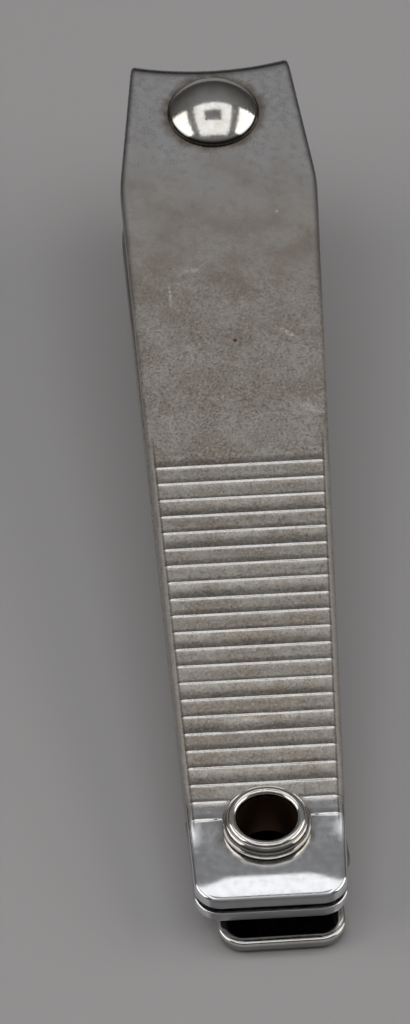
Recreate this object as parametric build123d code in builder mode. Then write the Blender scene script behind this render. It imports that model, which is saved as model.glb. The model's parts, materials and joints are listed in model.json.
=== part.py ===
from build123d import *
import os
from math import asin, atan2, cos, degrees, radians, sin, tan

# A large lever nail clipper, stored: the lever is folded flat under the upper arm, and the clipper lies
# on it. +X runs from the riveted tail to the cutting edges, +Z is up, and Z = 0 is the surface it lies on.
# All dimensions are in millimetres and all angles in degrees.

# the two spring arms
arm_thickness = 1.15
arm_gap = 0.55                  # between the arms where the eyelet clamps them
clamp_length = 9.2              # flat part at the tail, before the arms flare apart
flex_radius = 20.0
flare = 1.98                    # slope of each arm away from the middle plane
tail_half_width = 5.42
shoulder = (68.4, 7.5)          # widest point of the outline
jaw_corner = (84.0, 5.68)       # the outline runs on a little past the jaws
tail_corner_radius = 2.0
shoulder_radius = 18.0

# the jaws: the end of each arm is bent inwards, and hollow ground to a concave edge
jaw_bend_start = 79.27
jaw_bend_radius = 1.6
jaw_bend = 72.0
jaw_lip = 1.55
jaw_edge_land = 0.12
jaw_concave_radius = 21.0
jaw_overlap = 4.0

# grip ribs on the outer face of the ribbed arm
rib_count = 22
rib_first = 40.4
rib_pitch = 1.57
rib_width = 0.42
rib_height = 0.12
rib_side_margin = 0.6

# hollow rivet at the tail
eyelet_x = 6.45
eyelet_bore = 2.15
eyelet_shank = 2.55
eyelet_ring_radius = 2.86
eyelet_bulge_radius = 3.2
eyelet_height = 1.25
eyelet_flange_radius = 3.3
eyelet_flange = 0.28
eyelet_fit = 0.02

# nail file between the arms, swung a little out of line
file_thickness = 0.45
file_swing = 5.2
file_tail_half_width = 5.55
file_tail_back = 3.9
file_shoulder = 2.4
file_blade_start = 6.8
file_blade_half_width = 2.65
file_blade_end = 45.0
file_tip = 52.5
file_corner_radius = 1.4
file_hole_fit = 0.06

# pull post with its domed head
post_x = 75.6
post_radius = 1.7
post_fit = 0.05
post_slack_in_upper_arm = 0.5
dome_radius = 3.5
dome_rim = 0.2
dome_height = 1.7
post_tip_length = 1.2
post_seat_gap = 0.02

# cross pin that joins the post and the lever
pin_radius = 0.75
pin_fit = 0.05
pin_drop = 2.0                  # from the upper arm's outer face to the pin's axis
pin_half_length = 3.1

# lever: a pressed channel, open towards the arms while it is stored
lever_sheet = 0.7
lever_bend_radius = 0.7
lever_yaw = 0.5                 # it lies a little out of line with the arms
lever_tail = -77.4              # end of the lever, measured from the cross pin
lever_tail_rim = 6.74
lever_tail_depth = 1.24
lever_rim = [(-19.85, 3.08), (-15.4, 2.39), (-7.9, 1.27)]
lever_kink = (-15.0, 0.24)
lever_heel = (-3.38, -3.88)     # centre of the cam heel's round
lever_ear_radius = 1.6
lever_half_width = 4.55
lever_fork_half_width = 3.0
lever_taper = (-24.0, -9.0)
lever_corner_radius = 1.9
lever_slot_back = -3.0
lever_rim_rounding = 0.2

# jaw hinge: where the upper arm's bending is taken as one fold
jaw_hinge_x = 26.0

# position of the middle plane's tail end, which centres the clipper on X = 0
rear_x = -40.206


def face_height(x):
    """Height of an arm's inner face over the middle plane, and its slope, at x along the clipper."""
    flex_end = clamp_length + flex_radius * sin(radians(flare))
    if x <= clamp_length:
        return arm_gap / 2, 0.0
    if x <= flex_end:
        slope = asin((x - clamp_length) / flex_radius)
        return arm_gap / 2 + flex_radius * (1 - cos(slope)), degrees(slope)
    rise = flex_radius * (1 - cos(radians(flare))) + (x - flex_end) * tan(radians(flare))
    return arm_gap / 2 + rise, flare


def outer_height(x):
    """Height of an arm's outer face over the middle plane, and its slope."""
    height, slope = face_height(x)
    return height + arm_thickness / cos(radians(slope)), slope


def on(base, x, z, pitch=0.0):
    """A plane at (x, 0, z) of the base plane, with its x axis pitched up by an angle."""
    return Plane(base.location * Location((x, 0, z), (0, -pitch, 0)))


def side_of(base):
    """The side view of a plane: x stays x, and y is the plane's normal."""
    return Plane(base.location * Location((0, 0, 0), (90, 0, 0)))


# the cross pin's place, in the plane of the post, whose origin is the ribbed arm's outer face
post_face = outer_height(post_x)[0]
grip = 2 * post_face * cos(radians(flare)) / cos(radians(2 * flare))
pin_depth = grip + pin_drop


def from_pin(x, z):
    """A point given from the cross pin, in the middle plane's x and z."""
    down = z - pin_depth
    return (
        post_x + x * cos(radians(flare)) - down * sin(radians(flare)),
        post_face + x * sin(radians(flare)) + down * cos(radians(flare)),
    )


# the clipper lies on the round of the lever's heel and the round of its tail
lever_tail_bottom = (lever_tail, lever_tail_rim - lever_tail_depth)
web_slope = atan2(lever_tail_bottom[1] - lever_kink[1], lever_kink[0] - lever_tail)
tail_round = (
    lever_tail + lever_bend_radius,
    lever_tail_bottom[1] + lever_bend_radius * (1 / cos(web_slope) - tan(web_slope)),
)
tail_x, tail_z = from_pin(*tail_round)
heel_x, heel_z = from_pin(*lever_heel)
rest_tilt = degrees(atan2(tail_z - heel_z, heel_x - tail_x))
rear_z = lever_bend_radius - tail_x * sin(radians(rest_tilt)) - tail_z * cos(radians(rest_tilt))

middle = Plane(Location((rear_x, 0, rear_z), (0, -rest_tilt, 0)))
underside = Plane(middle.location * Location((0, 0, 0), (180, 0, 0)))
eyelet_plane = on(middle, eyelet_x, 0)
post_plane = on(middle, post_x, post_face, flare)
lever_turn = Location((0, 0, -pin_depth), (0, 0, lever_yaw))
lever_plane = Plane(post_plane.location * lever_turn)
file_plane = Plane(eyelet_plane.location * Location((0, 0, 0), (0, 0, file_swing)))


def arm_outline(base, inset=0.0):
    """Plan outline of an arm: the rounded tail, the widest point at the shoulders, and past the jaws."""
    with BuildSketch(base) as outline:
        with BuildLine():
            Polyline(
                (0, 0),
                (0, tail_half_width),
                shoulder,
                jaw_corner,
                (jaw_corner[0], 0),
                close=True,
            )
        make_face()
        mirror(about=Plane.XZ)
        by_length = outline.vertices().group_by(Axis.X)
        fillet(by_length[0], tail_corner_radius)
        fillet(outline.vertices().group_by(Axis.Y)[0], shoulder_radius)
        fillet(outline.vertices().group_by(Axis.Y)[-1], shoulder_radius)
        if inset:
            offset(amount=-inset)
    return outline.sketch


def arm_blank(base):
    """One spring arm: clamped flat at the tail, flared, with its end bent in and hollow ground."""
    jaw_height, _ = outer_height(jaw_bend_start)
    jaw = on(base, jaw_bend_start, jaw_height, flare)
    blade_end = jaw_bend_start - jaw_overlap / 2
    with BuildPart() as blank:
        # the flat, the bend and the straight flare, seen from the side
        with BuildSketch(side_of(base)):
            with BuildLine():
                flat = Line((0, arm_gap / 2), (clamp_length, arm_gap / 2))
                bend = JernArc(flat @ 1, flat % 1, flex_radius, flare)
                end = (blade_end, face_height(blade_end)[0])
                Line(bend @ 1, end)
                offset(amount=arm_thickness, side=Side.LEFT)
            make_face()
        extrude(amount=2 * tail_half_width, both=True)
        # the jaw: a bent lip turned about an upright axis in front of it, which makes the edge concave
        with BuildSketch(side_of(jaw)):
            with BuildLine():
                top = Line((-jaw_overlap, 0), (0, 0))
                outer_bend = JernArc(top @ 1, top % 1, jaw_bend_radius, -jaw_bend)
                lip = Line(outer_bend @ 1, outer_bend @ 1 + (outer_bend % 1) * jaw_lip)
                land = Line(lip @ 1, lip @ 1 + (lip % 1).rotate(Axis.Z, -90) * jaw_edge_land)
                under = Line((-jaw_overlap, -arm_thickness), (0, -arm_thickness))
                inner_radius = jaw_bend_radius - arm_thickness
                inner_bend = JernArc(under @ 1, under % 1, inner_radius, -jaw_bend)
                Line(inner_bend @ 1, land @ 1)
                Line(under @ 0, top @ 0)
            make_face()
        lip_reach = (lip @ 1).X
        concave_axis = on(jaw, lip_reach + jaw_concave_radius, 0)
        revolve(axis=Axis(concave_axis.origin, concave_axis.z_dir))
        extrude(arm_outline(base), amount=4 * jaw_bend_radius, both=True, mode=Mode.INTERSECT)
    return blank.part


def cut_eyelet_hole():
    """The hole that the eyelet's shank fills, through whatever part is being built."""
    with Locations(eyelet_plane.location):
        Hole(eyelet_shank + eyelet_fit)


# grip ribs: low ridges across the outer face, cut back from the edges and from the eyelet
with BuildPart() as ribs:
    for number in range(rib_count):
        rib_x = rib_first - number * rib_pitch
        rib_z, rib_slope = outer_height(rib_x)
        with BuildSketch(side_of(on(middle, rib_x, rib_z, rib_slope))):
            with BuildLine():
                Polyline(
                    (-rib_width / 2, -rib_height),
                    (-rib_width / 2, 0),
                    (0, rib_height),
                    (rib_width / 2, 0),
                    (rib_width / 2, -rib_height),
                    close=True,
                )
            make_face()
        extrude(amount=tail_half_width + 2, both=True)
    extrude(arm_outline(middle, rib_side_margin), amount=8, mode=Mode.INTERSECT)
    with BuildSketch(eyelet_plane):
        Circle(eyelet_bulge_radius + 0.1)
    extrude(amount=8, mode=Mode.SUBTRACT)

# arm with the grip ribs; the post turns in its hole
with BuildPart() as ribbed_arm:
    add(arm_blank(middle))
    add(ribs.part)
    cut_eyelet_hole()
    with Locations(post_plane.location):
        Hole(post_radius + post_fit)

# the other arm, cut where its bending is taken as a hinge: a clamped tail and a moving front
seam_height, seam_slope = face_height(jaw_hinge_x)
seam = on(underside, jaw_hinge_x, seam_height, seam_slope)
seam_plane = Plane(origin=seam.origin, z_dir=seam.x_dir)

with BuildPart() as upper_arm_tail:
    add(arm_blank(underside))
    cut_eyelet_hole()
    split(bisect_by=seam_plane, keep=Keep.BOTTOM)

with BuildPart() as upper_arm:
    add(arm_blank(underside))
    split(bisect_by=seam_plane, keep=Keep.TOP)
    with Locations(post_plane.location):
        Hole(post_radius + post_slack_in_upper_arm)

# eyelet: a hollow shank, rolled into a ring on the ribbed side and flanged on the other
with BuildPart() as eyelet:
    face = arm_gap / 2 + arm_thickness
    ring_round = (eyelet_ring_radius - eyelet_bore) / 2
    with BuildSketch(side_of(eyelet_plane)):
        with BuildLine():
            Polyline(
                (eyelet_bore, face + eyelet_height - ring_round),
                (eyelet_bore, -face - eyelet_flange),
                (eyelet_flange_radius, -face - eyelet_flange),
                (eyelet_flange_radius, -face),
                (eyelet_shank, -face),
                (eyelet_shank, face),
                (eyelet_bulge_radius, face),
                (eyelet_bulge_radius, face + 0.3),
                (eyelet_ring_radius, face + eyelet_height - ring_round),
            )
            ThreePointArc(
                (eyelet_ring_radius, face + eyelet_height - ring_round),
                ((eyelet_ring_radius + eyelet_bore) / 2, face + eyelet_height),
                (eyelet_bore, face + eyelet_height - ring_round),
            )
        make_face()
    revolve(axis=Axis(eyelet_plane.origin, eyelet_plane.z_dir))

# nail file: a wide tail on the eyelet, shoulders, a long blade and a pointed tip
with BuildPart() as nail_file:
    with BuildSketch(file_plane.offset(-file_thickness / 2)) as file_outline:
        with BuildLine():
            Polyline(
                (-file_tail_back, 0),
                (-file_tail_back, file_tail_half_width),
                (file_shoulder, file_tail_half_width),
                (file_blade_start, file_blade_half_width),
                (file_blade_end, file_blade_half_width),
                (file_tip, 0.4),
                (file_tip, 0),
                close=True,
            )
        make_face()
        mirror(about=Plane.XZ)
        fillet(file_outline.vertices().group_by(Axis.X)[0], file_corner_radius)
        for corner_x in (file_shoulder, file_blade_start):
            corners = file_outline.vertices().filter_by_position(Axis.X, corner_x - 0.1, corner_x + 0.1)
            fillet(corners, file_corner_radius)
        Circle(eyelet_shank + file_hole_fit, mode=Mode.SUBTRACT)
    extrude(amount=file_thickness)

# post: a domed head on the ribbed arm, and a round shaft with a cross hole near its end
with BuildPart() as post:
    with BuildSketch(side_of(post_plane)):
        with BuildLine():
            Polyline(
                (0, dome_height),
                (0, -pin_depth - post_tip_length),
                (post_radius - 0.4, -pin_depth - post_tip_length),
                (post_radius, -pin_depth - post_tip_length + 0.4),
                (post_radius, post_seat_gap),
                (dome_radius, post_seat_gap),
                (dome_radius, dome_rim),
            )
            crown = dome_height - dome_rim
            crown_radius = (dome_radius**2 + crown**2) / (2 * crown)
            crown_half_angle = degrees(asin(dome_radius / crown_radius))
            CenterArc((0, dome_height - crown_radius), crown_radius, 90 - crown_half_angle, crown_half_angle)
        make_face()
    revolve(axis=Axis(post_plane.origin, post_plane.z_dir))
    with Locations(side_of(lever_plane).location):
        Hole(pin_radius + pin_fit)

# cross pin through the lever's fork and the post
with BuildPart() as cross_pin:
    with BuildSketch(side_of(lever_plane)):
        Circle(pin_radius)
    extrude(amount=pin_half_length, both=True)
    chamfer(cross_pin.edges().filter_by(GeomType.CIRCLE), 0.12)

# the space inside the lever's channel and between the sides of its fork
with BuildPart() as channel:
    with BuildSketch(lever_plane) as channel_plan:
        with BuildLine():
            Polyline(
                (lever_tail + lever_sheet, 0),
                (lever_tail + lever_sheet, lever_half_width - lever_sheet),
                (lever_taper[0], lever_half_width - lever_sheet),
                (lever_taper[1], lever_fork_half_width - lever_sheet),
                (10, lever_fork_half_width - lever_sheet),
                (10, 0),
                close=True,
            )
        make_face()
        mirror(about=Plane.XZ)
        fillet(channel_plan.vertices().group_by(Axis.X)[0], lever_corner_radius - lever_sheet)
    extrude(amount=12, both=True)
    # only what lies over the web
    with BuildSketch(side_of(lever_plane)):
        with BuildLine():
            Polyline(
                (lever_tail, 12),
                (lever_tail, lever_tail_bottom[1] + lever_sheet),
                (lever_kink[0], lever_kink[1] + lever_sheet),
                lever_heel,
                (lever_slot_back, lever_heel[1]),
                (lever_slot_back, -12),
                (10, -12),
                (10, 12),
                close=True,
            )
        make_face()
    extrude(amount=12, both=True, mode=Mode.INTERSECT)


def lever_x(edge):
    """Where the middle of an edge lies along the lever, from the cross pin."""
    return lever_plane.to_local_coords(edge.position_at(0.5)).X


def on_profile(edges, start, end):
    """The edges that lie on a straight line of the lever's side profile."""
    slope = (end[1] - start[1]) / (end[0] - start[0])
    found = []
    for edge in edges:
        middle = lever_plane.to_local_coords(edge.position_at(0.5))
        if abs(middle.Z - start[1] - (middle.X - start[0]) * slope) < 0.01:
            found.append(edge)
    return found


# lever: handle, cam heel and fork, pressed from one sheet
with BuildPart() as lever:
    with BuildSketch(side_of(lever_plane)) as lever_side:
        # fork: the heel and the ears round the cross pin
        Circle(lever_ear_radius)
        with Locations(lever_heel):
            Circle(lever_bend_radius)
        make_hull()
        # handle: from the fork back to the tail
        with BuildLine():
            Polyline(
                (0, lever_ear_radius),
                lever_rim[2],
                lever_rim[1],
                lever_rim[0],
                (lever_tail, lever_tail_rim),
                lever_tail_bottom,
                lever_kink,
                (lever_heel[0] - lever_bend_radius, lever_heel[1] - 0.2),
                lever_heel,
                close=True,
            )
        make_face()
    extrude(amount=2 * lever_half_width, both=True)
    with BuildSketch(lever_plane) as lever_plan:
        with BuildLine():
            Polyline(
                (lever_tail, 0),
                (lever_tail, lever_half_width),
                (lever_taper[0], lever_half_width),
                (lever_taper[1], lever_fork_half_width),
                (10, lever_fork_half_width),
                (10, 0),
                close=True,
            )
        make_face()
        mirror(about=Plane.XZ)
        fillet(lever_plan.vertices().group_by(Axis.X)[0], lever_corner_radius)
    extrude(amount=12, both=True, mode=Mode.INTERSECT)
    # the bend between the web and the sides, round the tail
    web_edges = on_profile(lever.edges(), lever_tail_bottom, lever_kink)
    fillet([e for e in web_edges if lever_x(e) < lever_kink[0] - 1], lever_bend_radius)
    add(channel.part, mode=Mode.SUBTRACT)
    rim_edges = on_profile(lever.edges(), (lever_tail, lever_tail_rim), lever_rim[0])
    fillet([e for e in rim_edges if lever_x(e) < lever_taper[0]], lever_rim_rounding)
    with Locations(side_of(lever_plane).location):
        Hole(pin_radius + pin_fit)

os.makedirs("parts", exist_ok=True)
pieces = {
    "ribbed_arm": ribbed_arm,
    "upper_arm_tail": upper_arm_tail,
    "upper_arm": upper_arm,
    "eyelet": eyelet,
    "nail_file": nail_file,
    "post": post,
    "cross_pin": cross_pin,
    "lever": lever,
}
for name, piece in pieces.items():
    piece.part.label = name
    export_step(piece.part, f"parts/{name}.step")
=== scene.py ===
import json
from math import asin, cos, degrees, hypot, pi, radians, sin, sqrt, tan

import bmesh
import bpy
from mathutils import Matrix, Vector, noise


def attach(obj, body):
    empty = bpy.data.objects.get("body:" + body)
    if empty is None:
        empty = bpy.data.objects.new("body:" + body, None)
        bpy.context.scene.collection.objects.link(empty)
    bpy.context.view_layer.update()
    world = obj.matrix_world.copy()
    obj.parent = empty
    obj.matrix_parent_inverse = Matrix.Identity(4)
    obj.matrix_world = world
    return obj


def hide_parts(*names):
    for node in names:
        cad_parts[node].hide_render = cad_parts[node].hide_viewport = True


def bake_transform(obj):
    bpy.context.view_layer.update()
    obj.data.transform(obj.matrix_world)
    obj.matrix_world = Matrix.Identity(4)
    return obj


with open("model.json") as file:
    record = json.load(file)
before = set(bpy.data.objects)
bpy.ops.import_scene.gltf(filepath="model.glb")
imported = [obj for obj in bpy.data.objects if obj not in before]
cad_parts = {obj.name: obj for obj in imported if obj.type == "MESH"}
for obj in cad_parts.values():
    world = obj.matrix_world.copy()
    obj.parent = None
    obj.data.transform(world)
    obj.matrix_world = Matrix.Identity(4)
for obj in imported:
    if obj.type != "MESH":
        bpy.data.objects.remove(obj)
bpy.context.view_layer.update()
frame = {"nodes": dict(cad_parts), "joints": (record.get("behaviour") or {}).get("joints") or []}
joints = {joint["name"]: joint for joint in frame["joints"]}

MM = 0.001

# The shapes below are written in millimetres, in the plane of the part they belong to.
# Spring arms
ARM_THICKNESS = 1.15
ARM_GAP = 0.55
CLAMP_LENGTH = 9.2
FLEX_RADIUS = 20.0
TAIL_HALF_WIDTH = 5.42
SHOULDER = (68.4, 7.5)
JAW_CORNER = (84.0, 5.68)
TAIL_CORNER = 2.0
SHOULDER_RADIUS = 18.0
OUTER_EDGE = 0.3
INNER_EDGE = 0.12
TAIL_ROLL = 0.26
TAIL_ROLL_WIDTH = 2.6

# Jaws
JAW_BEND_START = 79.27
JAW_BEND_RADIUS = 1.6
JAW_BEND = radians(72)
JAW_LIP = 1.55
JAW_LAND = 0.12
JAW_CONCAVE = 21.0

# Grip ribs
RIB_COUNT = 22
RIB_FIRST = 40.4
RIB_PITCH = 1.57
RIB_HEIGHT = 0.085
RIB_FRONT = 0.08
RIB_BACK = 0.18
RIB_MARGIN = 0.45

# Eyelet
EYELET_X = 6.45
BORE = 2.15
SHANK = 2.55
RING = 2.86
BULGE = 3.2
EYELET_HEIGHT = 1.25
FLANGE = 3.3
FLANGE_THICKNESS = 0.28

# Nail file
FILE_THICKNESS = 0.45
FILE_SWING = radians(5.2)
FILE_TAIL = -3.9
FILE_TIP = 52.5

# Post, cross pin and lever
POST_X = 75.6
POST_RADIUS = 1.7
DOME_RADIUS = 3.5
DOME_HEIGHT = 1.7
POST_TIP = 1.2
PIN_RADIUS = 0.75
PIN_HALF_LENGTH = 3.1
LEVER_TAIL = -77.4
LEVER_RIM_HEIGHT = 6.74
LEVER_RIM_SLOPE = 0.0636


def plane(origin, x_axis, z_axis):
    """The matrix from millimetres in a plane to metres in the row frame."""
    x_axis = Vector(x_axis).normalized()
    z_axis = Vector(z_axis).normalized()
    y_axis = z_axis.cross(x_axis)
    rotation = Matrix((x_axis, y_axis, z_axis)).transposed().to_4x4()
    return Matrix.Translation(origin) @ rotation @ Matrix.Scale(MM, 4)


def upright(joint):
    """The plane of a joint whose axis stands in the middle plane of the clipper."""
    z_axis = Vector(joint["axis"])
    return plane(joint["pos_m"], (z_axis.z, 0, -z_axis.x), z_axis)


eyelet_plane = upright(joints["file_swing"])
post_plane = upright(joints["post_turn"])
middle = eyelet_plane @ Matrix.Translation((-EYELET_X, 0, 0))
underside = middle @ Matrix.Rotation(pi, 4, "X")
file_plane = eyelet_plane @ Matrix.Rotation(FILE_SWING, 4, "Z")
lever_y = -Vector(joints["lever_fold"]["axis"])
lever_plane = plane(
    joints["lever_fold"]["pos_m"],
    lever_y.cross(Vector(joints["post_turn"]["axis"])),
    joints["post_turn"]["axis"],
)
FLARE = Vector(joints["file_swing"]["axis"]).angle(Vector(joints["post_turn"]["axis"]))
PIN_DEPTH = (post_plane.translation - lever_plane.translation).length / MM


# ---------------------------------------------------------------- mesh helpers
def smooth_step(value):
    value = min(max(value, 0.0), 1.0)
    return value * value * (3 - 2 * value)


def spread(start, end, count):
    """Evenly spaced values, both ends included."""
    return [start + (end - start) * i / (count - 1) for i in range(count)]


def new_piece(name, vertices, faces, place, sharp=radians(32), holes=()):
    """A closed mesh piece, given and drilled in a plane's millimetres, shaded smooth up to an angle."""
    mesh = bpy.data.meshes.new(name)
    mesh.from_pydata(vertices, [], faces)
    tidy = bmesh.new()
    tidy.from_mesh(mesh)
    bmesh.ops.remove_doubles(tidy, verts=tidy.verts, dist=0.0005)
    bmesh.ops.recalc_face_normals(tidy, faces=tidy.faces)
    if tidy.calc_volume(signed=True) < 0:
        bmesh.ops.reverse_faces(tidy, faces=tidy.faces)
    tidy.to_mesh(mesh)
    tidy.free()
    piece = bpy.data.objects.new(name, mesh)
    bpy.context.scene.collection.objects.link(piece)
    for hole_plane, radius in holes:
        drill(piece, place.inverted() @ hole_plane, radius)
    piece.data.transform(place)
    shade(piece, sharp)
    return piece


def shade(piece, sharp):
    piece.data.polygons.foreach_set("use_smooth", [True] * len(piece.data.polygons))
    piece.data.set_sharp_from_angle(angle=sharp)


def lattice(rows, offset=0, flip=False):
    """Quads between neighbouring rows of equal length; rows are counts of vertices laid end to end."""
    count, width = rows
    faces = []
    for i in range(count - 1):
        for j in range(width - 1):
            a = offset + i * width + j
            quad = (a, a + 1, a + width + 1, a + width)
            faces.append(quad[::-1] if flip else quad)
    return faces


def plate(name, top, bottom, place, sharp=radians(32), holes=()):
    """A closed plate between two grids of points that have the same number of rows and columns."""
    count, width = len(top), len(top[0])
    vertices = [p for row in top for p in row] + [p for row in bottom for p in row]
    below = count * width
    faces = lattice((count, width)) + lattice((count, width), below, flip=True)
    rim = [j for j in range(width)]
    rim += [i * width + width - 1 for i in range(1, count)]
    rim += [(count - 1) * width + j for j in range(width - 2, -1, -1)]
    rim += [i * width for i in range(count - 2, 0, -1)]
    for a, b in zip(rim, rim[1:] + rim[:1]):
        faces.append((a, b, below + b, below + a))
    return new_piece(name, vertices, faces, place, sharp, holes)


def turned(name, profile, place, steps=128, sharp=radians(32), holes=()):
    """A closed profile of (radius, height) turned about the plane's normal."""
    count = len(profile)
    vertices = []
    for i in range(steps):
        angle = 2 * pi * i / steps
        vertices += [(r * cos(angle), r * sin(angle), z) for r, z in profile]
    faces = []
    for i in range(steps):
        a, b = i * count, (i + 1) % steps * count
        for j in range(count):
            k = (j + 1) % count
            if profile[j][0] > 0 or profile[k][0] > 0:
                faces.append((a + j, b + j, b + k, a + k))
    return new_piece(name, vertices, faces, place, sharp, holes)


def arc(centre, radius, start, end, count):
    """Points on an arc, by angles in degrees."""
    angles = spread(radians(start), radians(end), count)
    return [(centre[0] + radius * cos(a), centre[1] + radius * sin(a)) for a in angles]


def drill(piece, place, radius):
    """Cuts a round hole through a piece, along the normal of a plane."""
    bit = bmesh.new()
    bmesh.ops.create_cone(bit, cap_ends=True, segments=96, radius1=radius, radius2=radius, depth=40)
    bmesh.ops.transform(bit, matrix=place, verts=bit.verts)
    mesh = bpy.data.meshes.new("bit")
    bit.to_mesh(mesh)
    bit.free()
    cutter = bpy.data.objects.new("bit", mesh)
    bpy.context.scene.collection.objects.link(cutter)
    cut = piece.modifiers.new("drill", "BOOLEAN")
    cut.operation = "DIFFERENCE"
    cut.solver = "MANIFOLD"
    cut.object = cutter
    apply_modifiers(piece)
    bpy.data.objects.remove(cutter)


def apply_modifiers(piece):
    graph = bpy.context.evaluated_depsgraph_get()
    finished = bpy.data.meshes.new_from_object(piece.evaluated_get(graph))
    piece.modifiers.clear()
    piece.data = finished


# ---------------------------------------------------------------- spring arms
def face_height(x):
    """Height of an arm's inner face over the middle plane, and its slope."""
    flex_end = CLAMP_LENGTH + FLEX_RADIUS * sin(FLARE)
    if x <= CLAMP_LENGTH:
        return ARM_GAP / 2, 0.0
    if x <= flex_end:
        slope = asin((x - CLAMP_LENGTH) / FLEX_RADIUS)
        return ARM_GAP / 2 + FLEX_RADIUS * (1 - cos(slope)), slope
    rise = FLEX_RADIUS * (1 - cos(FLARE)) + (x - flex_end) * tan(FLARE)
    return ARM_GAP / 2 + rise, FLARE


def half_width(x):
    """Half width of an arm's outline, without the rounding of its tail corners."""
    back = (SHOULDER[1] - TAIL_HALF_WIDTH) / SHOULDER[0]
    front = (JAW_CORNER[1] - SHOULDER[1]) / (JAW_CORNER[0] - SHOULDER[0])
    turn_back, turn_front = asin(back / hypot(1, back)), asin(front / hypot(1, front))
    reach = SHOULDER_RADIUS * tan((turn_back - turn_front) / 2)
    start = SHOULDER[0] - reach * cos(turn_back)
    end = SHOULDER[0] + reach * cos(turn_front)
    if x <= start:
        return TAIL_HALF_WIDTH + x * back
    if x >= end:
        return SHOULDER[1] + (x - SHOULDER[0]) * front
    centre_x = start + SHOULDER_RADIUS * sin(turn_back)
    centre_y = TAIL_HALF_WIDTH + start * back - SHOULDER_RADIUS * cos(turn_back)
    return centre_y + sqrt(SHOULDER_RADIUS**2 - (x - centre_x) ** 2)


def tail_width(x):
    """Half width with the tail corners rounded."""
    if x >= TAIL_CORNER:
        return half_width(x)
    straight = half_width(TAIL_CORNER) - TAIL_CORNER
    return straight + sqrt(max(TAIL_CORNER**2 - (TAIL_CORNER - x) ** 2, 0.0))


def edge_distance(x, y):
    """How far inside the arm's outline a point lies."""
    width = half_width(max(x, TAIL_CORNER))
    across = abs(y) - (width - TAIL_CORNER)
    along = TAIL_CORNER - x
    if along > 0 and across > 0:
        return TAIL_CORNER - hypot(along, across)
    return min(width - abs(y), x) if along > 0 else width - abs(y)


def round_off(distance, radius):
    """How far a rounded edge drops at some distance inside the outline."""
    if distance >= radius:
        return 0.0
    inside = radius - max(distance, 0.0)
    return radius - sqrt(max(radius**2 - inside**2, 0.0))


def rib_rise(x, y):
    """Height of the grip ribs at a point of the arm."""
    number = round((RIB_FIRST - x - 0.08) / RIB_PITCH)
    if not 0 <= number < RIB_COUNT:
        return 0.0
    off = x - RIB_FIRST + number * RIB_PITCH
    off = off / RIB_FRONT if off > 0 else -off / RIB_BACK
    if off >= 1:
        return 0.0
    crest = RIB_HEIGHT * (0.5 + 0.5 * cos(pi * off))
    ends = smooth_step((edge_distance(x, y) - RIB_MARGIN) / 0.15)
    eyelet = smooth_step((hypot(x - EYELET_X, y) - BULGE - 0.3) / 0.15)
    waver = 1 + 0.14 * noise.noise(Vector((x * 0.35, y * 0.5, 3.7)))
    worn = 1 - 0.75 * dent(x, y, 15.4, 2.2, 1.2, 1.0) - 0.5 * dent(x, y, 17.2, -1.2, 0.9, 1.6)
    return crest * ends * eyelet * waver * worn


def dent(x, y, centre_x, centre_y, length, breadth):
    """1 at the centre of a worn spot, falling to 0 at its edge."""
    away = hypot((x - centre_x) / length, (y - centre_y) / breadth)
    return smooth_step(1 - away)


def surface_wear(x, y):
    """Shallow dings and the slow waviness of a pressed strip."""
    waves = 0.006 * noise.noise(Vector((x * 0.22, y * 0.3, 9.1)))
    dings = 0.02 * dent(x, y, 16.1, 0.9, 0.7, 2.4) + 0.025 * dent(x, y, 16.6, -2.3, 0.6, 0.9)
    dings += 0.015 * dent(x, y, 53.0, -4.3, 0.5, 1.3) + 0.02 * dent(x, y, 65.2, -4.25, 0.2, 0.25)
    dings += 0.012 * dent(x, y, 57.2, 4.25, 1.5, 0.25)
    return waves - dings


def arm_section(station):
    """Outer point, inner point and pitch of the arm's section at a station along its outer face."""
    if station <= JAW_BEND_START:
        height, slope = face_height(station)
        inner = (station, height)
        outer = (station - ARM_THICKNESS * sin(slope), height + ARM_THICKNESS * cos(slope))
        if station <= CLAMP_LENGTH:
            return outer, inner, 0.0
        return (station, height + ARM_THICKNESS / cos(slope)), inner, slope
    along = station - JAW_BEND_START
    turned_by = min(along / JAW_BEND_RADIUS, JAW_BEND)
    on_lip = max(along - JAW_BEND_RADIUS * JAW_BEND, 0.0)
    inner_radius = JAW_BEND_RADIUS - ARM_THICKNESS
    outer = (JAW_BEND_RADIUS * sin(turned_by), -JAW_BEND_RADIUS * (1 - cos(turned_by)))
    inner = (inner_radius * sin(turned_by), -JAW_BEND_RADIUS + inner_radius * cos(turned_by))
    outer = (outer[0] + on_lip * cos(JAW_BEND), outer[1] - on_lip * sin(JAW_BEND))
    edge = (
        JAW_BEND_RADIUS * sin(JAW_BEND) + JAW_LIP * cos(JAW_BEND) - JAW_LAND * sin(JAW_BEND),
        -JAW_BEND_RADIUS * (1 - cos(JAW_BEND)) - JAW_LIP * sin(JAW_BEND) - JAW_LAND * cos(JAW_BEND),
    )
    share = on_lip / JAW_LIP
    inner = tuple(a + (b - a) * share for a, b in zip(inner, edge))
    start_x, start_z = JAW_BEND_START, face_height(JAW_BEND_START)[0] + ARM_THICKNESS / cos(FLARE)

    def in_arm(point):
        x, z = point
        return (
            start_x + x * cos(FLARE) - z * sin(FLARE),
            start_z + x * sin(FLARE) + z * cos(FLARE),
        )

    return in_arm(outer), in_arm(inner), FLARE - turned_by


def jaw_axis_x():
    """Where the upright axis stands that the concave jaw is turned about."""
    reach = JAW_BEND_RADIUS * sin(JAW_BEND) + JAW_LIP * cos(JAW_BEND)
    return JAW_BEND_START + (reach + JAW_CONCAVE) * cos(FLARE)


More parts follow.
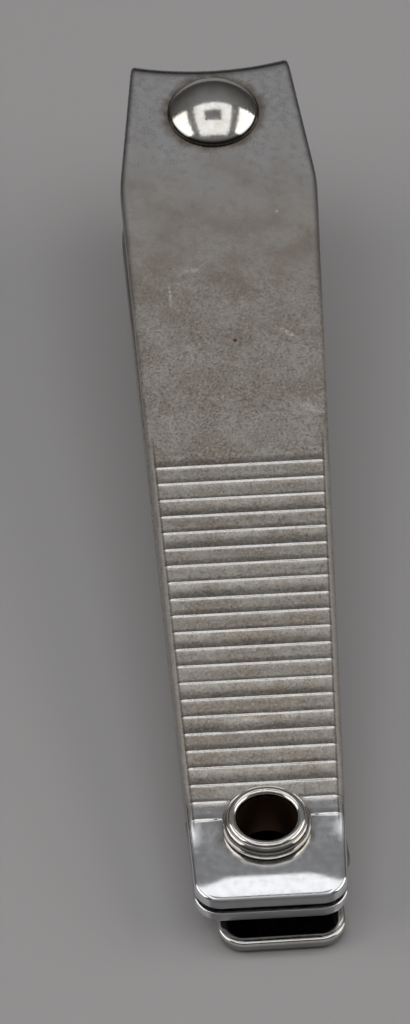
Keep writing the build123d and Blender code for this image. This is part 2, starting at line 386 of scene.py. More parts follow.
def arm_point(x, z, share):
    """A point of the arm at a share of its half width, moved forward where the jaw is hollow ground."""
    radius = jaw_axis_x() - x
    hollow = smooth_step((x - JAW_BEND_START + 6.0) / 5.5)
    y, moved = 0.0, x
    for _ in range(5):
        y = share * tail_width(moved)
        moved = x + hollow * (radius - sqrt(radius**2 - y**2))
    return moved, y, z


def arm_stations(ribbed):
    """Places along the arm, close together at the tail, on ribs, at the bend and round the jaw."""
    stations = [0, 0.004, 0.015, 0.035, 0.06, 0.09, 0.125, 0.17, 0.22, 0.28, 0.36, 0.46, 0.6, 0.75]
    stations += [0.92, 1.1, 1.3, 1.5, 1.75, 2.0]
    stations += spread(2.25, CLAMP_LENGTH - 0.15, 26)
    stations += spread(CLAMP_LENGTH, CLAMP_LENGTH + FLEX_RADIUS * sin(FLARE), 5)
    stations += spread(10.2, JAW_BEND_START - 3.0, 112)
    stations += spread(JAW_BEND_START - 2.7, JAW_BEND_START, 8)
    stations += [JAW_BEND_START + JAW_BEND_RADIUS * JAW_BEND * i / 18 for i in range(1, 19)]
    lip_start = JAW_BEND_START + JAW_BEND_RADIUS * JAW_BEND
    stations += [lip_start + JAW_LIP * i / 10 for i in range(1, 11)]
    if ribbed:
        shares = [-RIB_BACK * s for s in (1.0, 0.85, 0.7, 0.55, 0.4, 0.25, 0.12, 0.0)]
        shares += [RIB_FRONT * s for s in (0.3, 0.6, 0.8, 1.0)]
        ribs = [RIB_FIRST - n * RIB_PITCH for n in range(RIB_COUNT)]
        near = RIB_BACK + 0.1
        stations = [s for s in stations if min(abs(s - rib) for rib in ribs) > near]
        stations += [rib + share for rib in ribs for share in shares]
    return sorted(stations)


def arm_shares():
    """Shares of the half width across the arm, close together at its edges."""
    edge = [0.0, 0.01, 0.03, 0.06, 0.1, 0.15, 0.2, 0.26, 0.33, 0.42, 0.55, 0.75, 1.05, 1.45]
    side = [1 - e / 6.4 for e in edge]
    inner = spread(-side[-1], side[-1], 18)[1:-1]
    return [-s for s in side] + inner + side[::-1]


def arm(name, place, ribbed, holes):
    top, bottom = [], []
    for station in arm_stations(ribbed):
        outer, inner, pitch = arm_section(station)
        top_row, bottom_row = [], []
        for share in arm_shares():
            x, y, z = arm_point(*outer, share)
            inside = edge_distance(x, y)
            drop = round_off(inside, OUTER_EDGE)
            if x < CLAMP_LENGTH:
                roll = max(1 - inside / TAIL_ROLL_WIDTH, 0.0) ** 2
                drop += TAIL_ROLL * roll * smooth_step((CLAMP_LENGTH - 1.0 - x) / 4.0)
            if station < JAW_BEND_START:
                drop -= surface_wear(x, y)
            if ribbed:
                drop -= rib_rise(x, y)
            top_row.append((x + drop * sin(pitch), y, z - drop * cos(pitch)))
            x, y, z = arm_point(*inner, share)
            lift = round_off(edge_distance(x, y), INNER_EDGE)
            bottom_row.append((x - lift * sin(pitch), y, z + lift * cos(pitch)))
        top.append(top_row)
        bottom.append(bottom_row)
    return plate(name, top, bottom, place, holes=holes)


eyelet_hole = (eyelet_plane, SHANK + 0.02)
ribbed_holes = (eyelet_hole, (post_plane, POST_RADIUS + 0.05))
ribbed_arm = arm("ribbed_arm_finished", middle, True, ribbed_holes)
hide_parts("ribbed_arm")
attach(ribbed_arm, "clamped_arms")

upper_holes = (eyelet_hole, (post_plane, POST_RADIUS + 0.5))
upper_arm = arm("upper_arm_finished", underside, False, upper_holes)
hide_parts("upper_arm_tail", "upper_arm")
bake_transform(upper_arm)


# ---------------------------------------------------------------- eyelet
def eyelet_profile():
    """Section of the rivet: rolled lip, neck and bulge on the ribbed side, spread foot on the other."""
    face = ARM_GAP / 2 + ARM_THICKNESS
    lip = (RING - BORE) / 2
    top = face + EYELET_HEIGHT - lip
    foot = -face - FLANGE_THICKNESS
    profile = arc((BORE + lip, top), lip, 180, 8, 18)
    profile += arc((BULGE - 0.75, face + 0.42), 0.75, 50, -32, 17)
    profile += [(SHANK, face), (SHANK, -face)]
    profile += [(FLANGE - 0.12, -face - 0.02)]
    profile += arc((FLANGE - 0.13, foot + 0.14), 0.12, 20, -70, 6)
    profile += [(BORE + 0.25, foot + 0.01)]
    profile += arc((BORE + 0.2, foot + 0.2), 0.2, -110, -180, 6)
    return profile


eyelet = turned("eyelet_finished", eyelet_profile(), eyelet_plane, steps=160, sharp=radians(50))
# the rolled lip has split a little on the side of the jaws
away = eyelet_plane.inverted()
for vertex in eyelet.data.vertices:
    x, y, z = away @ vertex.co
    above = z - ARM_GAP / 2 - ARM_THICKNESS - 0.75
    if above > 0 and x > 0:
        split = smooth_step(1 - abs(y - 0.1) / 0.11) * smooth_step(above / 0.3)
        vertex.co = eyelet_plane @ Vector((x, y, z - 0.07 * split))
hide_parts("eyelet")
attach(eyelet, "clamped_arms")


# ---------------------------------------------------------------- post and cross pin
def post_profile():
    """Section of the post: shaft, seat and domed head."""
    tip = -PIN_DEPTH - POST_TIP
    rim = 0.2
    crown = DOME_HEIGHT - rim
    radius = (DOME_RADIUS**2 + crown**2) / (2 * crown)
    spread_angle = degrees(asin(DOME_RADIUS / radius))
    profile = [(0, tip), (POST_RADIUS - 0.4, tip)]
    profile += arc((POST_RADIUS - 0.35, tip + 0.35), 0.35, -90, 0, 6)
    profile += [(POST_RADIUS, 0.02), (DOME_RADIUS - 0.1, 0.02)]
    profile += arc((DOME_RADIUS - 0.1, 0.12), 0.1, -90, 20, 6)
    crown_arc = arc((0, DOME_HEIGHT - radius), radius, 90 - spread_angle, 90, 30)
    profile += crown_arc[2:]
    return profile


pin_plane = lever_plane @ Matrix.Rotation(pi / 2, 4, "X")
pin_hole = (pin_plane, PIN_RADIUS + 0.05)
post = turned("post_finished", post_profile(), post_plane, sharp=radians(40), holes=(pin_hole,))
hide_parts("post")
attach(post, "pull_post")

pin_profile = [(0, -PIN_HALF_LENGTH)]
pin_profile += arc((PIN_RADIUS - 0.2, -PIN_HALF_LENGTH + 0.2), 0.2, -85, 0, 6)
pin_profile += arc((PIN_RADIUS - 0.2, PIN_HALF_LENGTH - 0.2), 0.2, 0, 85, 6)
pin_profile += [(0, PIN_HALF_LENGTH)]
cross_pin = turned("cross_pin_finished", pin_profile, pin_plane, steps=64)
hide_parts("cross_pin")
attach(cross_pin, "lever_pin")


# ---------------------------------------------------------------- nail file
FILE_OUTLINE = [(2.4, 5.55), (6.8, 2.65), (45.0, 2.65), (52.5, 0.4)]
FILE_CORNER = 1.4
TOOTH_PITCH = 0.62
TOOTH_DEPTH = 0.05


def file_width(x):
    """Half width of the file, with rounded tail corners, soft shoulders and a nicked blade edge."""
    if x < FILE_TAIL + FILE_CORNER:
        width = FILE_OUTLINE[0][1] - FILE_CORNER
        return width + sqrt(max(FILE_CORNER**2 - (FILE_TAIL + FILE_CORNER - x) ** 2, 0.0))
    previous = (FILE_TAIL, FILE_OUTLINE[0][1])
    for point in FILE_OUTLINE:
        if x <= point[0]:
            share = (x - previous[0]) / (point[0] - previous[0])
            width = previous[1] + (point[1] - previous[1]) * share
            break
        previous = point
    nick = abs((x / TOOTH_PITCH) % 1 - 0.5) * 2
    return width - 0.07 * nick * smooth_step((x - 8.0) / 1.5) * smooth_step((50.5 - x) / 1.5)


def file_teeth(x, y):
    """Cross-cut teeth on the blade's faces."""
    on_blade = smooth_step((x - 8.0) / 1.2) * smooth_step((50.5 - x) / 1.2)
    one_way = abs(((x + y) / TOOTH_PITCH) % 1 - 0.5) * 2
    other_way = abs(((x - y) / TOOTH_PITCH) % 1 - 0.5) * 2
    return TOOTH_DEPTH * on_blade * max(one_way, other_way)


def nail_file_piece():
    stations = [FILE_TAIL + s for s in (0, 0.01, 0.05, 0.12, 0.22, 0.36, 0.55, 0.8, 1.1, 1.4)]
    stations += spread(FILE_TAIL + 1.7, 8.0, 24)
    stations += spread(8.0 + TOOTH_PITCH / 4, FILE_TIP, 286)
    shares = spread(-1, 1, 35)
    top, bottom = [], []
    for x in stations:
        width = file_width(x)
        top.append([])
        bottom.append([])
        for share in shares:
            y = share * width
            drop = file_teeth(x, y) + 0.03 * (abs(share) == 1)
            top[-1].append((x, y, FILE_THICKNESS / 2 - drop))
            bottom[-1].append((x, y, drop - FILE_THICKNESS / 2))
    hole = (file_plane, SHANK + 0.06)
    return plate("nail_file_finished", top, bottom, file_plane, radians(20), (hole,))


nail_file = nail_file_piece()
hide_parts("nail_file")
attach(nail_file, "file")


# ---------------------------------------------------------------- lever
def copied(name, node):
    """A new piece with a CAD node's shape, shaded smooth."""
    piece = bpy.data.objects.new(name, frame["nodes"][node].data.copy())
    bpy.context.scene.collection.objects.link(piece)
    tidy = bmesh.new()
    tidy.from_mesh(piece.data)
    bmesh.ops.remove_doubles(tidy, verts=tidy.verts, dist=0.0005 * MM)
    tidy.to_mesh(piece.data)
    tidy.free()
    shade(piece, radians(28))
    weights = piece.modifiers.new("weights", "WEIGHTED_NORMAL")
    weights.keep_sharp = True
    return piece


lever = copied("lever_finished", "lever")
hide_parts("lever")
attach(lever, "press_lever")


# ---------------------------------------------------------------- materials
class Paint:
    """A small helper round one material's node tree."""

    def __init__(self, name):
        self.material = bpy.data.materials.new(name)
        self.material.use_nodes = True
        self.nodes = self.material.node_tree.nodes
        self.links = self.material.node_tree.links
        self.shader = self.nodes["Principled BSDF"]
        self.place = self.nodes.new("ShaderNodeTexCoord").outputs["Object"]

    def mapped(self, place, scale=(1, 1, 1), turn=0.0, move=(0, 0, 0)):
        """The object's coordinates in millimetres of a plane, scaled and turned about its normal."""
        node = self.nodes.new("ShaderNodeMapping")
        node.vector_type = "POINT"
        inverse = place.inverted()
        node.inputs["Location"].default_value = inverse.translation
        node.inputs["Rotation"].default_value = inverse.to_euler()
        node.inputs["Scale"].default_value = inverse.to_scale()
        self.links.new(self.place, node.inputs["Vector"])
        last = self.nodes.new("ShaderNodeMapping")
        last.inputs["Location"].default_value = move
        last.inputs["Scale"].default_value = scale
        vector = node.outputs["Vector"]
        if turn:
            spin = self.nodes.new("ShaderNodeMapping")
            spin.inputs["Rotation"].default_value = (0, 0, turn)
            self.links.new(vector, spin.inputs["Vector"])
            vector = spin.outputs["Vector"]
        self.links.new(vector, last.inputs["Vector"])
        return last.outputs["Vector"]

    def noise(self, vector, scale, detail=3.0, roughness=0.55):
        node = self.nodes.new("ShaderNodeTexNoise")
        node.inputs["Scale"].default_value = scale
        node.inputs["Detail"].default_value = detail
        node.inputs["Roughness"].default_value = roughness
        self.links.new(vector, node.inputs["Vector"])
        return node.outputs["Fac"]

    def ramp(self, value, low, high, to_low=0.0, to_high=1.0):
        node = self.nodes.new("ShaderNodeMapRange")
        node.interpolation_type = "SMOOTHSTEP"
        limits = {"From Min": low, "From Max": high, "To Min": to_low, "To Max": to_high}
        for socket, number in limits.items():
            node.inputs[socket].default_value = number
        self.links.new(value, node.inputs["Value"])
        return node.outputs["Result"]

    def math(self, operation, first, second):
        node = self.nodes.new("ShaderNodeMath")
        node.operation = operation
        for socket, value in zip(node.inputs, (first, second)):
            if isinstance(value, (int, float)):
                socket.default_value = value
            else:
                self.links.new(value, socket)
        return node.outputs["Value"]

    def split(self, vector):
        node = self.nodes.new("ShaderNodeSeparateXYZ")
        self.links.new(vector, node.inputs["Vector"])
        return node.outputs["X"], node.outputs["Y"], node.outputs["Z"]

    def mix(self, factor, first, second):
        node = self.nodes.new("ShaderNodeMix")
        node.data_type = "RGBA"
        sockets = (node.inputs[0], node.inputs[6], node.inputs[7])
        for socket, value in zip(sockets, (factor, first, second)):
            if isinstance(value, tuple):
                socket.default_value = (*value, 1)
            elif isinstance(value, (int, float)):
                socket.default_value = value
            else:
                self.links.new(value, socket)
        return node.outputs[2]

    def radius(self, vector, centre):
        """Distance in the plane from a centre."""
        x, y, _ = self.split(vector)
        x = self.math("SUBTRACT", x, centre[0])
        y = self.math("SUBTRACT", y, centre[1])
        squares = self.math("ADD", self.math("MULTIPLY", x, x), self.math("MULTIPLY", y, y))
        return self.math("SQRT", squares, 0.0)

    def mark(self, vector, centre, size, turn):
        """Mask of a soft oval at a place, with its size along and across a direction."""
        x, y, _ = self.split(vector)
        x = self.math("SUBTRACT", x, centre[0])
        y = self.math("SUBTRACT", y, centre[1])
        c, s = cos(turn), sin(turn)
        along = self.math("ADD", self.math("MULTIPLY", x, c), self.math("MULTIPLY", y, s))
        across = self.math("SUBTRACT", self.math("MULTIPLY", y, c), self.math("MULTIPLY", x, s))
        along = self.math("DIVIDE", along, size[0])
        across = self.math("DIVIDE", across, size[1])
        along = self.math("MULTIPLY", along, along)
        across = self.math("MULTIPLY", across, across)
        return self.ramp(self.math("ADD", along, across), 1.0, 0.1)

    def scratches(self, place, turn, seed, threshold=0.6):
        """Thin straight scratches at one direction, as a mask."""
        lines = self.noise(self.mapped(place, (0.12, 7.0, 1.0), turn, (seed, seed, 0)), 1.0, 2.0, 0.6)
        patches = self.noise(self.mapped(place, (1, 1, 1), 0.0, (seed, 0, 0)), 0.35, 2.0)
        lines = self.ramp(lines, threshold, threshold + 0.05)
        return self.math("MULTIPLY", lines, self.ramp(patches, 0.42, 0.62))

    def bump(self, height, distance, strength=1.0, normal=None):
        node = self.nodes.new("ShaderNodeBump")
        node.inputs["Strength"].default_value = strength
        node.inputs["Distance"].default_value = distance * MM
        self.links.new(height, node.inputs["Height"])
        if normal is not None:
            self.links.new(normal, node.inputs["Normal"])
        return node.outputs["Normal"]

    def finish(self, color, roughness, normal=None):
        self.shader.inputs["Metallic"].default_value = 1.0
        self.links.new(color, self.shader.inputs["Base Color"])
        self.links.new(roughness, self.shader.inputs["Roughness"])
        if normal is not None:
            self.links.new(normal, self.shader.inputs["Normal"])
        return self.material


FACE_TONES = ((0.46, 0.40, 0.34), (0.60, 0.56, 0.51))
FACE_DARK = (0.32, 0.29, 0.26)
FACE_FLECK = (0.72, 0.71, 0.69)
HEAD_TONE = (0.74, 0.75, 0.775)
TAIL_TONE = (0.86, 0.875, 0.90)
RIB_POLISH_AND_HIGHLIGHT_TONE = (0.74, 0.73, 0.71)
WALL_TONE = (0.37, 0.36, 0.37)
# centre, half size along and across, direction and strength of the bright marks at dings on the ribbed
# arm: partly worn metal, partly painted glint
DING_WEAR_AND_GLINT_TONE = (0.92, 0.88, 0.80)
DING_WEAR_AND_GLINT_MARKS = (
    ((57.2, 4.25), (1.5, 0.14), 0.0, 0.8),
    ((59.7, 2.6), (0.9, 0.35), 1.4, 0.55),
    ((53.0, -4.3), (1.3, 0.22), 0.86, 0.9),
    ((56.2, -1.2), (0.8, 0.5), 0.4, 0.35),
    ((65.2, -4.25), (0.18, 0.18), 0.0, 0.9),
    ((45.5, -5.6), (1.2, 0.5), 1.1, 0.6),
    ((16.0, 0.9), (0.7, 2.2), 0.0, 0.5),
    ((16.6, -2.3), (0.6, 0.8), 0.6, 0.6),
)
RUST_SPOT = ((52.5, -0.35), (0.25, 0.2), 0.0)
RUST_TONE = (0.22, 0.11, 0.05)


def inset(paint, x, y):
    """How far inside the arm's side edges a point lies."""
    back_slope = (SHOULDER[1] - TAIL_HALF_WIDTH) / SHOULDER[0]
    front_slope = (JAW_CORNER[1] - SHOULDER[1]) / (JAW_CORNER[0] - SHOULDER[0])
    back = paint.math("ADD", paint.math("MULTIPLY", x, back_slope), TAIL_HALF_WIDTH)
    front = paint.math("MULTIPLY", paint.math("SUBTRACT", x, SHOULDER[0]), front_slope)
    front = paint.math("ADD", front, SHOULDER[1])
    width = paint.math("MINIMUM", back, front)
    return paint.math("SUBTRACT", width, paint.math("ABSOLUTE", y, 0.0))


def rib_crest_polish_and_highlight(paint, flat, inside):
    """Mask of the crests of the grip ribs, painted lighter: partly polish from rubbing, partly painted
    highlight.
    """
    x, _, _ = paint.split(flat)
    turns = paint.math("DIVIDE", paint.math("SUBTRACT", x, RIB_FIRST - 0.06), RIB_PITCH)
    share = paint.math("FRACT", paint.math("ADD", turns, 0.5), 0.0)
    off = paint.math("MULTIPLY", paint.math("SUBTRACT", share, 0.5), RIB_PITCH)
    crest = paint.ramp(paint.math("ABSOLUTE", off, 0.0), 0.15, 0.08)
    last = RIB_FIRST - (RIB_COUNT - 1) * RIB_PITCH
    crest = paint.math("MULTIPLY", crest, paint.ramp(x, RIB_FIRST + 0.6, RIB_FIRST + 0.3))
    crest = paint.math("MULTIPLY", crest, paint.ramp(x, last - 0.6, last - 0.3))
    crest = paint.math("MULTIPLY", crest, paint.ramp(inside, RIB_MARGIN, RIB_MARGIN + 0.12))
    away = paint.radius(flat, (EYELET_X, 0.0))
    crest = paint.math("MULTIPLY", crest, paint.ramp(away, BULGE + 0.3, BULGE + 0.45))
    rubbed = paint.noise(paint.mapped(middle, (0.6, 1.0, 1.0)), 2.2, 3.0)
    return paint.math("MULTIPLY", crest, paint.ramp(rubbed, 0.3, 0.5, 0.6, 1.0))


def arm_steel(name, place, stains_and_painted_light):
    """Worn nickel plate: satin and brownish in the middle, brighter and bluer at both ends."""
    paint = Paint(name)
    flat = paint.mapped(place)
    x, y, z = paint.split(flat)
    wander = paint.math("MULTIPLY", paint.noise(flat, 0.5), 1.5)
    tail = paint.ramp(paint.math("ADD", x, wander), 11.0, 7.8)
    drift = paint.math("ADD", x, paint.math("MULTIPLY", paint.noise(flat, 0.25), 14.0))
    head = paint.ramp(drift, 66.0, 84.0)
    inside = inset(paint, x, y)
    cloud = paint.noise(flat, 0.3, 4.0, 0.6)
    mottle = paint.noise(flat, 1.6, 4.0, 0.65)
    speckle = paint.noise(flat, 5.0, 2.0, 0.7)
    worn_face = paint.math("MULTIPLY", paint.ramp(drift, 76.0, 56.0), paint.math("SUBTRACT", 1.0, tail))
    color = paint.mix(paint.ramp(cloud, 0.35, 0.65), *FACE_TONES)
    color = paint.mix(paint.ramp(mottle, 0.44, 0.64, 0.0, 0.5), color, FACE_DARK)
    flecks = paint.math("MULTIPLY", paint.ramp(speckle, 0.54, 0.68, 0.0, 0.6), worn_face)
    color = paint.mix(flecks, color, FACE_FLECK)
    pits = paint.math("MULTIPLY", paint.ramp(speckle, 0.46, 0.34, 0.0, 0.55), worn_face)
    color = paint.mix(pits, color, (0.17, 0.16, 0.15))
    color = paint.mix(paint.math("MULTIPLY", head, 0.8), color, HEAD_TONE)
    color = paint.mix(tail, color, TAIL_TONE)
    scratch = paint.scratches(place, 0.35, 1.3)
    for turn, seed in ((-0.5, 4.1), (1.2, 7.7), (1.75, 2.9), (2.6, 5.3)):
        scratch = paint.math("MAXIMUM", scratch, paint.scratches(place, turn, seed))
    worn = paint.math("MULTIPLY", scratch, worn_face)
    color = paint.mix(paint.math("MULTIPLY", worn, 0.4), color, (0.62, 0.61, 0.60))
    crest_polish_and_highlight = None
    if stains_and_painted_light:
        away = paint.radius(flat, (POST_X, 0.0))
        wander = paint.math("MULTIPLY", paint.noise(flat, 0.9, 3.0), 1.6)
        ring = paint.ramp(paint.math("SUBTRACT", away, wander), 3.6, 2.6)
        color = paint.mix(paint.math("MULTIPLY", ring, 0.75), color, (0.22, 0.15, 0.08))
        away = paint.radius(flat, (EYELET_X, 0.0))
        ring = paint.ramp(paint.math("SUBTRACT", away, wander), 3.0, 2.3)
        color = paint.mix(paint.math("MULTIPLY", ring, 0.5), color, (0.30, 0.24, 0.17))
        broken = paint.ramp(paint.noise(flat, 3.5, 2.0), 0.35, 0.6)
        # bright marks at the dings, partly wear and partly painted glint
        for centre, size, turn, strength in DING_WEAR_AND_GLINT_MARKS:
            ding_wear_and_glint = paint.math("MULTIPLY", paint.mark(flat, centre, size, turn), broken)
            color = paint.mix(paint.math("MULTIPLY", ding_wear_and_glint, strength), color, DING_WEAR_AND_GLINT_TONE)
        color = paint.mix(paint.mark(flat, *RUST_SPOT), color, RUST_TONE)
        # a lighter strip along each ribbed edge, partly polish and partly painted highlight on the
        # rounded edge, with a painted shade line on its inner side where the ribs end
        ribbed = paint.math("MULTIPLY", paint.ramp(x, 44.0, 41.5), paint.ramp(x, 6.0, 7.5))
        rib_end_shade_line = paint.math("ABSOLUTE", paint.math("SUBTRACT", inside, 0.46), 0.0)
        rib_end_shade_line = paint.math("MULTIPLY", paint.ramp(rib_end_shade_line, 0.1, 0.04, 0.0, 0.6), ribbed)
        color = paint.mix(rib_end_shade_line, color, (0.13, 0.11, 0.09))
        strip = paint.math("MULTIPLY", paint.ramp(inside, 0.4, 0.32, 0.0, 0.6), ribbed)
        color = paint.mix(strip, color, (0.50, 0.47, 0.43))
        # the rib crests are painted lighter, partly as polish and partly as painted highlight
        crest_polish_and_highlight = rib_crest_polish_and_highlight(paint, flat, inside)
        color = paint.mix(crest_polish_and_highlight, color, RIB_POLISH_AND_HIGHLIGHT_TONE)
    # painted shade along the head's edges and on the bend of the jaw; then the sheared side walls
    head_edge_shade = paint.math("MULTIPLY", paint.ramp(inside, 0.55, 0.15, 0.0, 0.6), paint.ramp(x, 46.0, 70.0))
    hollow = paint.math("DIVIDE", paint.math("MULTIPLY", y, y), 2 * (JAW_CONCAVE + 2))
    jaw_bend_shade = paint.math("SUBTRACT", paint.math("SUBTRACT", x, hollow), JAW_BEND_START)
    jaw_bend_shade = paint.ramp(jaw_bend_shade, 0.3, 0.6, 0.0, 0.85)
    crown = face_height(JAW_BEND_START)[0] + ARM_THICKNESS
    jaw_bend_shade = paint.math("MULTIPLY", jaw_bend_shade, paint.ramp(z, crown - 1.7, crown - 1.0, 0.15, 1.0))
    color = paint.mix(paint.math("MAXIMUM", head_edge_shade, jaw_bend_shade), color, (0.13, 0.13, 0.14))
    wall = paint.math("MAXIMUM", paint.ramp(x, 0.06, 0.015), paint.ramp(inside, 0.06, 0.015))
    low = paint.math("MULTIPLY", paint.ramp(x, 0.35, 0.15), paint.ramp(z, 1.3, 1.15))
    wall = paint.math("MAXIMUM", wall, low)
    color = paint.mix(paint.math("MULTIPLY", wall, 0.85), color, WALL_TONE)
    rough = paint.math("ADD", paint.ramp(mottle, 0.35, 0.65, -0.03, 0.05), 0.34)
    uneven = paint.math("MULTIPLY", paint.ramp(speckle, 0.4, 0.65, -0.03, 0.05), worn_face)
    rough = paint.math("ADD", rough, uneven)
    rough = paint.math("SUBTRACT", rough, paint.math("MULTIPLY", tail, 0.2))
    rough = paint.math("SUBTRACT", rough, paint.math("MULTIPLY", head, 0.06))
    rough = paint.math("ADD", rough, paint.math("MULTIPLY", wall, 0.35))
    if crest_polish_and_highlight is not None:
        rough = paint.math("SUBTRACT", rough, paint.math("MULTIPLY", crest_polish_and_highlight, 0.1))
    grain = paint.bump(paint.math("MULTIPLY", speckle, worn_face), 0.012, 0.5)
    normal = paint.bump(paint.math("MULTIPLY", scratch, worn_face), 0.006, 0.5, grain)
    return paint.finish(color, rough, normal)


def plated(name, place, bore_painted_shade=False, web_painted_shade=False, foot_painted_shade=False):
    """Bright nickel plate with fine scratches and a little tarnish."""
    paint = Paint(name)
    flat = paint.mapped(place)
    cloud = paint.noise(flat, 0.8, 4.0, 0.6)
    fine = paint.noise(flat, 6.0, 3.0, 0.6)
    color = paint.mix(paint.ramp(cloud, 0.35, 0.7), (0.78, 0.77, 0.75), (0.66, 0.63, 0.58))
    color = paint.mix(paint.ramp(fine, 0.6, 0.75, 0.0, 0.4), color, (0.45, 0.40, 0.34))
    rough = paint.ramp(fine, 0.35, 0.7, 0.08, 0.2)
    # painted shade: a darker band under the rolled lip, a near-black line where the eyelet meets the
    # arm and a dark inside of the bore
    if bore_painted_shade:
        away = paint.radius(flat, (0.0, 0.0))
        _, _, z = paint.split(flat)
        inside = paint.ramp(away, BORE + 0.12, BORE + 0.02)
        deep_bore_shade = paint.math("MULTIPLY", inside, paint.ramp(z, 2.5, 1.9))
        under = paint.math("ABSOLUTE", paint.math("SUBTRACT", z, 2.15), 0.0)
        color = paint.mix(paint.ramp(under, 0.32, 0.12, 0.0, 0.6), color, (0.16, 0.14, 0.12))
        color = paint.mix(paint.ramp(z, 1.62, 1.5, 0.0, 0.85), color, (0.05, 0.045, 0.04))
        color = paint.mix(deep_bore_shade, color, (0.10, 0.055, 0.03))
        rough = paint.math("ADD", rough, paint.math("MULTIPLY", deep_bore_shade, 0.4))
    # painted shade: a near-black band where the domed head's seat meets the arm
    if foot_painted_shade:
        _, _, z = paint.split(flat)
        foot = paint.math("MULTIPLY", paint.ramp(z, 0.5, 0.28), paint.ramp(z, -0.3, -0.1))
        color = paint.mix(paint.math("MULTIPLY", foot, 0.92), color, (0.04, 0.035, 0.03))
    # painted shade: the lever darker below a line that slopes under its rim
    if web_painted_shade:
        x, _, z = paint.split(flat)
        rim = paint.math("SUBTRACT", z, LEVER_RIM_HEIGHT)
        along = paint.math("SUBTRACT", x, LEVER_TAIL)
        rim = paint.math("ADD", rim, paint.math("MULTIPLY", along, LEVER_RIM_SLOPE))
        lever_web_shade = paint.ramp(rim, -0.22, -0.42, 0.0, 0.75)
        color = paint.mix(lever_web_shade, color, (0.22, 0.215, 0.215))
    return paint.finish(color, rough, paint.bump(fine, 0.008, 0.4))


def file_steel(name, place):
    """Darker hardened steel, with painted shade between the teeth."""
    paint = Paint(name)
    flat = paint.mapped(place)
    _, _, z = paint.split(flat)
    cloud = paint.noise(flat, 0.5, 4.0, 0.6)
    fine = paint.noise(flat, 5.0, 3.0, 0.6)
    color = paint.mix(paint.ramp(cloud, 0.35, 0.7), (0.27, 0.25, 0.235), (0.20, 0.18, 0.165))
    # painted shade in the valleys between the teeth
    teeth_valley_shade = paint.ramp(paint.math("ABSOLUTE", z, 0.0), 0.215, 0.185)
    color = paint.mix(paint.math("MULTIPLY", teeth_valley_shade, 0.4), color, (0.12, 0.10, 0.085))
    rough = paint.ramp(fine, 0.3, 0.7, 0.28, 0.45)
    return paint.finish(color, rough, paint.bump(fine, 0.01, 0.5))


ribbed_arm.data.materials.clear()
ribbed_arm.data.materials.append(arm_steel("worn_arm", middle, stains_and_painted_light=True))
upper_arm.data.materials.clear()
upper_arm.data.materials.append(arm_steel("worn_arm_under", underside, stains_and_painted_light=False))
eyelet.data.materials.clear()
eyelet.data.materials.append(plated("eyelet_plate", eyelet_plane, bore_painted_shade=True))
post.data.materials.clear()
post.data.materials.append(plated("post_plate", post_plane, foot_painted_shade=True))
cross_pin.data.materials.clear()
cross_pin.data.materials.append(plated("pin_plate", lever_plane))
lever.data.materials.clear()
lever.data.materials.append(plated("lever_plate", lever_plane, web_painted_shade=True))
nail_file.data.materials.clear()
nail_file.data.materials.append(file_steel("file_metal", file_plane))


# ---------------------------------------------------------------- floor, lights and camera
def floor_piece():
    size = 1.6
    mesh = bpy.data.meshes.new("floor")
    corners = [(-size, -size, 0), (size, -size, 0), (size, size, 0), (-size, size, 0)]
    mesh.from_pydata(corners, [], [(0, 1, 2, 3)])
    floor = bpy.data.objects.new("floor", mesh)
    bpy.context.scene.collection.objects.link(floor)
    paint = Paint("pale_floor")
    cloud = paint.noise(paint.place, 6.0, 2.0)
    paint.shader.inputs["Roughness"].default_value = 0.6
    color = paint.mix(cloud, (0.44, 0.437, 0.442), (0.465, 0.46, 0.466))
    paint.links.new(color, paint.shader.inputs["Base Color"])
    mesh.materials.append(paint.material)


floor_piece()


def softbox(name, centre, facing, size, radiance, color=(1, 1, 1)):
    """A rectangular area light, with its size along X and Y before it is turned to face a direction."""
    light = bpy.data.lights.new(name, "AREA")
    light.shape = "RECTANGLE"
    light.size, light.size_y = size
    light.energy = radiance * pi * size[0] * size[1]
    light.color = color
    lamp = bpy.data.objects.new(name, light)
    bpy.context.scene.collection.objects.link(lamp)
    lamp.location = centre
    lamp.rotation_euler = Vector(facing).to_track_quat("-Z", "Y").to_euler()


# a large overhead softbox with a dim middle, made of four strips, and a dimmer one at each side
LAMP_HEIGHT = 1.0
BOX_NEAR, BOX_FAR, BOX_SIDE = -0.81, 0.47, 0.58
HOLE_NEAR, HOLE_FAR, HOLE_SIDE = -0.18, 0.18, 0.25
BOX_RADIANCE = 0.9
strips = {
    "overhead_near": (BOX_NEAR, HOLE_NEAR, -BOX_SIDE, BOX_SIDE),
    "overhead_far": (HOLE_FAR, BOX_FAR, -BOX_SIDE, BOX_SIDE),
    "overhead_left": (HOLE_NEAR, HOLE_FAR, HOLE_SIDE, BOX_SIDE),
    "overhead_right": (HOLE_NEAR, HOLE_FAR, -BOX_SIDE, -HOLE_SIDE),
}
for strip, (x0, x1, y0, y1) in strips.items():
    centre = ((x0 + x1) / 2, (y0 + y1) / 2, LAMP_HEIGHT)
    softbox(strip, centre, (0, 0, -1), (x1 - x0, y1 - y0), BOX_RADIANCE)
SIDE_PLACE = (-0.05, 1.2, 0.75)
SIDE_SIZE = (1.3, 0.8)
SIDE_RADIANCE = 1.6
SIDE_COLOR = (1.0, 0.96, 0.92)
for side, name in ((1, "side_left"), (-1, "side_right")):
    centre = (SIDE_PLACE[0], side * SIDE_PLACE[1], SIDE_PLACE[2])
    softbox(name, centre, (0, -side, -0.5), SIDE_SIZE, SIDE_RADIANCE, SIDE_COLOR)


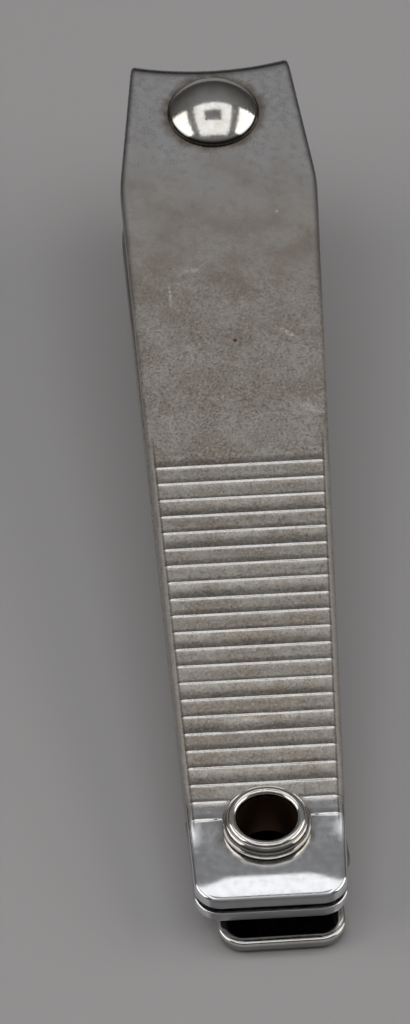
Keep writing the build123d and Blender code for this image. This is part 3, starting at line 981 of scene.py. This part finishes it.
def room():
    """A soft grey surround, dark at the horizon and lighter overhead."""
    world = bpy.data.worlds.new("room")
    world.use_nodes = True
    bpy.context.scene.world = world
    nodes, links = world.node_tree.nodes, world.node_tree.links
    direction = nodes.new("ShaderNodeTexCoord").outputs["Generated"]
    split = nodes.new("ShaderNodeSeparateXYZ")
    links.new(direction, split.inputs["Vector"])
    rise = nodes.new("ShaderNodeMapRange")
    rise.interpolation_type = "SMOOTHSTEP"
    for socket, number in (("From Min", 0.1), ("From Max", 0.9), ("To Min", 0.05), ("To Max", 0.19)):
        rise.inputs[socket].default_value = number
    links.new(split.outputs["Z"], rise.inputs["Value"])
    background = nodes["Background"]
    background.inputs["Color"].default_value = (1.0, 0.99, 0.985, 1)
    links.new(rise.outputs["Result"], background.inputs["Strength"])


room()

# The camera stands behind the eyelet and looks down along the clipper.
CAMERA_AZIMUTH = radians(-1.762)
CAMERA_ELEVATION = radians(42.209)
CAMERA_ROLL = radians(-1.808)
CAMERA_DISTANCE = 631.8 * MM
CAMERA_AIM = Vector((-3.577, 2.762, 8.0)) * MM
FOCAL_LENGTH_IN_FRAMES = 8.398
SENSOR = 36.0

camera_data = bpy.data.cameras.new("camera")
camera_data.sensor_fit = "VERTICAL"
camera_data.sensor_height = SENSOR
camera_data.sensor_width = SENSOR
camera_data.lens = SENSOR * FOCAL_LENGTH_IN_FRAMES
camera_data.clip_start = 0.05
camera_data.clip_end = 10.0
camera = bpy.data.objects.new("camera", camera_data)
bpy.context.scene.collection.objects.link(camera)
forward = Vector((
    cos(CAMERA_ELEVATION) * cos(CAMERA_AZIMUTH),
    cos(CAMERA_ELEVATION) * sin(CAMERA_AZIMUTH),
    -sin(CAMERA_ELEVATION),
))
right = forward.cross(Vector((0, 0, 1))).normalized()
up = right.cross(forward)
rolled_right = right * cos(CAMERA_ROLL) + up * sin(CAMERA_ROLL)
rolled_up = up * cos(CAMERA_ROLL) - right * sin(CAMERA_ROLL)
turn = Matrix((rolled_right, rolled_up, -forward)).transposed().to_4x4()
camera.matrix_world = Matrix.Translation(CAMERA_AIM - forward * CAMERA_DISTANCE) @ turn
bpy.context.scene.camera = camera
bpy.context.scene.view_settings.view_transform = "Standard"
